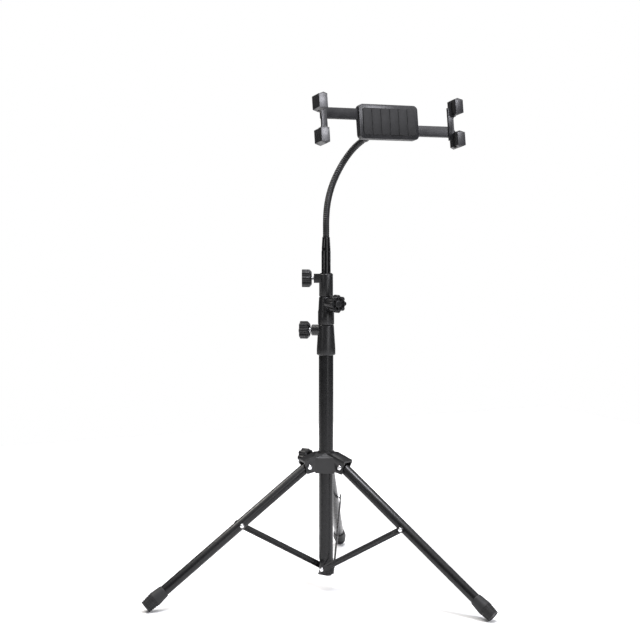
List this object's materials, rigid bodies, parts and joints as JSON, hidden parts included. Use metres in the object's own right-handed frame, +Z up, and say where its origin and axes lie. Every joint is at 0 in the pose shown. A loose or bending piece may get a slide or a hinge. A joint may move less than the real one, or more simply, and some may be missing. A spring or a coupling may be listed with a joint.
{
  "type": "tablet floor stand",
  "caption": "Folding tripod floor stand with a telescoping column, flexible neck, ball joint and a spring-loaded clawed tablet holder.",
  "frame": {"origin": "the column's axis where it meets the floor", "axes": "+Z up along the column; the holder's face and the tablet's screen look towards -Y, tilted up a little; +X to the right as seen from the user"},
  "size_m": [0.4974, 0.514, 0.7538],
  "materials": {
    "powder_coat": "black powder coat on steel, satin with soft long highlights",
    "gloss_coat": "glossy black enamel",
    "moulding": "black moulded plastic with a fine spark texture",
    "knob_moulding": "black moulded plastic, slightly worn to a sheen on the lobes",
    "bright_steel": "bright zinc plate",
    "rubber": "dark grey rubber, matt",
    "neck_skin": "black plastic-covered steel spring, satin",
    "holder_moulding": "black moulded plastic, satin faces"
  },
  "bodies": {
    "column": {"lower_tube": "powder_coat", "column_end_plug": "moulding", "foot_rivets": "bright_steel", "lower_collar": "moulding"},
    "hub": {"hub": "moulding", "leg_screws": "bright_steel", "leg_nuts": "bright_steel"},
    "hub_knob": {"hub_knob": "knob_moulding", "hub_knob_stud": "bright_steel"},
    "lower_knob": {"lower_knob": "knob_moulding", "lower_knob_stud": "bright_steel"},
    "middle_section": {"mid_tube": "powder_coat", "mid_tube_bush": "moulding", "middle_collar": "moulding"},
    "middle_knob": {"middle_knob": "knob_moulding", "middle_knob_stud": "bright_steel"},
    "upper_section": {"upper_tube": "powder_coat", "upper_tube_bush": "moulding", "upper_collar": "moulding"},
    "upper_knob": {"upper_knob": "knob_moulding", "upper_knob_stud": "bright_steel"},
    "neck_sleeve": {"clamp_sleeve": "moulding"},
    "neck_tube": {"neck_tube": "gloss_coat", "lower_ferrule": "gloss_coat"},
    "neck": {"gooseneck": "neck_skin"},
    "neck_head": {"upper_ferrule": "gloss_coat", "ball_stud": "bright_steel"},
    "ball": {"ball": "holder_moulding"},
    "socket": {"ball_socket": "holder_moulding"},
    "ring_nut": {"ring_nut": "knob_moulding"},
    "holder": {"swivel_ring": "holder_moulding", "back_cover": "holder_moulding", "front_cover": "holder_moulding", "front_pad": "rubber", "cover_screws": "bright_steel", "left_arm_spring": "bright_steel", "right_arm_spring": "bright_steel"},
    "left_arm": {"left_arm": "holder_moulding", "left_claw_pads": "rubber"},
    "right_arm": {"right_arm": "holder_moulding", "right_claw_pads": "rubber"},
    "back_leg": {"back_leg_tube": "powder_coat", "back_leg_plug": "moulding", "back_leg_foot": "rubber", "back_leg_rivet": "bright_steel"},
    "back_stay": {"back_stay": "powder_coat", "back_stay_rivet": "bright_steel"},
    "left_leg": {"left_leg_tube": "powder_coat", "left_leg_plug": "moulding", "left_leg_foot": "rubber", "left_leg_rivet": "bright_steel"},
    "left_stay": {"left_stay": "powder_coat", "left_stay_rivet": "bright_steel"},
    "right_leg": {"right_leg_tube": "powder_coat", "right_leg_plug": "moulding", "right_leg_foot": "rubber", "right_leg_rivet": "bright_steel"},
    "right_stay": {"right_stay": "powder_coat", "right_stay_rivet": "bright_steel"}
  },
  "joints": [
    {"name": "hub_slide", "type": "slide", "parent": "column", "child": "hub", "axis": [0, 0, 1], "range_m": [0, 0.1345]},
    {"name": "back_leg_fold", "type": "hinge", "parent": "hub", "child": "back_leg", "pos_m": [0.01624, 0.02693, 0.19407], "axis": [-0.8563, 0.5165, 0], "range_deg": [0, 54.3]},
    {"name": "back_stay_fold", "type": "hinge", "parent": "column", "child": "back_stay", "pos_m": [0.00047, 0.00077, 0.0334], "axis": [0.8563, -0.5165, 0], "range_deg": [0, 49.4]},
    {"name": "left_leg_fold", "type": "hinge", "parent": "hub", "child": "left_leg", "pos_m": [-0.03144, 0.0006, 0.19407], "axis": [-0.0192, -0.9998, 0], "range_deg": [0, 54.3]},
    {"name": "left_stay_fold", "type": "hinge", "parent": "column", "child": "left_stay", "pos_m": [-0.0009, 0.00002, 0.0334], "axis": [0.0192, 0.9998, 0], "range_deg": [0, 49.4]},
    {"name": "right_leg_fold", "type": "hinge", "parent": "hub", "child": "right_leg", "pos_m": [0.0152, -0.02753, 0.19407], "axis": [0.8755, 0.4833, 0], "range_deg": [0, 54.3]},
    {"name": "right_stay_fold", "type": "hinge", "parent": "column", "child": "right_stay", "pos_m": [0.00044, -0.00079, 0.0334], "axis": [-0.8755, -0.4833, 0], "range_deg": [0, 49.4]},
    {"name": "hub_knob_turn", "type": "hinge", "parent": "hub", "child": "hub_knob", "pos_m": [0, 0, 0.2023], "axis": [-0.4833, 0.8755, 0], "continuous": true},
    {"name": "lower_knob_turn", "type": "hinge", "parent": "column", "child": "lower_knob", "pos_m": [0, 0, 0.4009], "axis": [-0.81, 0.5864, 0], "continuous": true},
    {"name": "middle_slide", "type": "slide", "parent": "column", "child": "middle_section", "axis": [0, 0, 1], "range_m": [0, 0.3]},
    {"name": "middle_knob_turn", "type": "hinge", "parent": "middle_section", "child": "middle_knob", "pos_m": [0, 0, 0.443], "axis": [0.0366, -0.9993, 0], "continuous": true},
    {"name": "upper_slide", "type": "slide", "parent": "middle_section", "child": "upper_section", "axis": [0, 0, 1], "range_m": [0, 0.3]},
    {"name": "upper_knob_turn", "type": "hinge", "parent": "upper_section", "child": "upper_knob", "pos_m": [0, 0, 0.4799], "axis": [-0.8996, 0.4368, 0], "continuous": true},
    {"name": "neck_swivel", "type": "hinge", "parent": "upper_section", "child": "neck_sleeve", "pos_m": [0, 0, 0.478], "axis": [0, 0, 1], "continuous": true},
    {"name": "neck_slide", "type": "slide", "parent": "neck_sleeve", "child": "neck_tube", "axis": [0, 0, 1], "range_m": [-0.032, 0.13]},
    {"name": "neck_bend_low", "type": "hinge", "parent": "neck_tube", "child": "neck", "pos_m": [0.00634, 0.00924, 0.58888], "axis": [1, 0, 0], "range_deg": [-25, 25], "deforming": ["gooseneck"]},
    {"name": "neck_bend_high", "type": "hinge", "parent": "neck", "child": "neck_head", "pos_m": [0.04488, 0.03035, 0.65729], "axis": [1, 0, 0], "range_deg": [-25, 25], "deforming": ["gooseneck"]},
    {"name": "ball_turn", "type": "hinge", "parent": "neck_head", "child": "ball", "pos_m": [0.08033, -0.02269, 0.71022], "axis": [0.3963, -0.7429, 0.5395], "continuous": true},
    {"name": "holder_tilt", "type": "hinge", "parent": "ball", "child": "socket", "pos_m": [0.08033, -0.02269, 0.71022], "axis": [0.734, -0.0966, -0.6722], "range_deg": [-79.7, 8.3]},
    {"name": "ring_nut_turn", "type": "hinge", "parent": "socket", "child": "ring_nut", "pos_m": [0.08033, -0.02269, 0.71022], "axis": [0, -0.9898, 0.1423], "continuous": true},
    {"name": "holder_spin", "type": "hinge", "parent": "socket", "child": "holder", "pos_m": [0.08033, -0.02269, 0.71022], "axis": [0, -0.9898, 0.1423], "continuous": true},
    {"name": "left_arm_slide", "type": "slide", "parent": "holder", "child": "left_arm", "axis": [1, 0, 0], "range_m": [-0.006, 0.05], "stiffness_N_per_m": 120, "springref_m": 0.09, "deforming": ["left_arm_spring"]},
    {"name": "right_arm_slide", "type": "slide", "parent": "holder", "child": "right_arm", "axis": [-1, 0, 0], "range_m": [-0.006, 0.05], "stiffness_N_per_m": 120, "springref_m": 0.09, "deforming": ["right_arm_spring"]}
  ],
  "couplings": [
    {"joint": "back_leg_fold", "follows": "hub_slide", "rad_per_m": 7.0144},
    {"joint": "back_stay_fold", "follows": "hub_slide", "rad_per_m": 6.3809},
    {"joint": "left_leg_fold", "follows": "hub_slide", "rad_per_m": 7.0144},
    {"joint": "left_stay_fold", "follows": "hub_slide", "rad_per_m": 6.3809},
    {"joint": "right_leg_fold", "follows": "hub_slide", "rad_per_m": 7.0144},
    {"joint": "right_stay_fold", "follows": "hub_slide", "rad_per_m": 6.3809}
  ]
}
